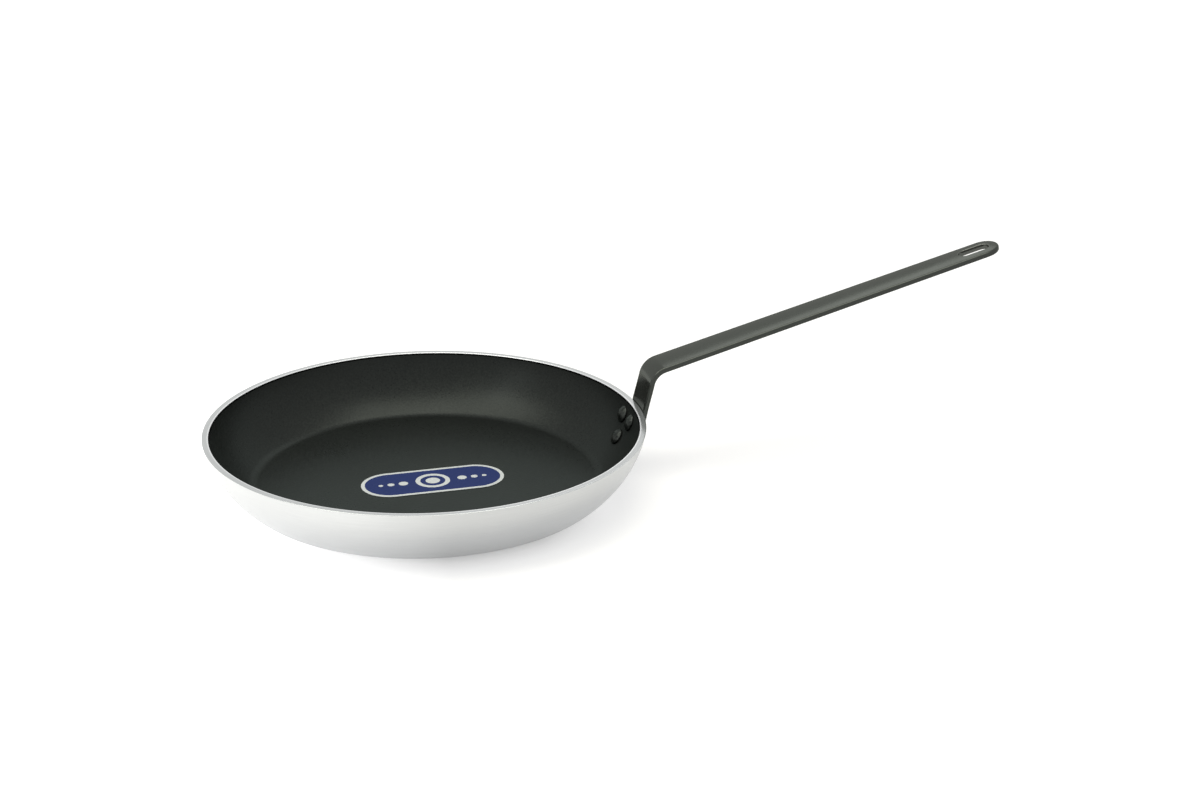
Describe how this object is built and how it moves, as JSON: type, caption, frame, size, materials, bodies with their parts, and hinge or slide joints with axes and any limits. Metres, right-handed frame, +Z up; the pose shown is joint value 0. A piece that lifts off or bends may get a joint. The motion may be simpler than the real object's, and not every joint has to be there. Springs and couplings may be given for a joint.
{
  "type": "nonstick frying pan",
  "caption": "Shallow round aluminium frying pan with a dark nonstick coating inside and a long bent steel strip handle riveted to the wall, with a hanging slot at its end.",
  "frame": {"origin": "centre of the pan's flat underside", "axes": "+X along the handle away from the pan, +Z up, +Y to the left of someone who looks along the handle from the pan"},
  "size_m": [0.5268, 0.2798, 0.1308],
  "materials": {
    "pan_aluminium": "satin polished outside, turned rim",
    "nonstick_coating": "fine-grained satin nonstick coating",
    "label_film": "printed label, blue and silver, no words",
    "handle_coat": "satin dark grey stoved coat on steel",
    "rivet_aluminium": "coated dark inside the pan, bare formed head outside"
  },
  "bodies": {
    "root": {"pan_body": "pan_aluminium", "nonstick_coating": "nonstick_coating", "floor_label": "label_film", "handle": "handle_coat", "rivet_upper_left": "rivet_aluminium", "rivet_upper_right": "rivet_aluminium", "rivet_lower": "rivet_aluminium"}
  },
  "joints": []
}
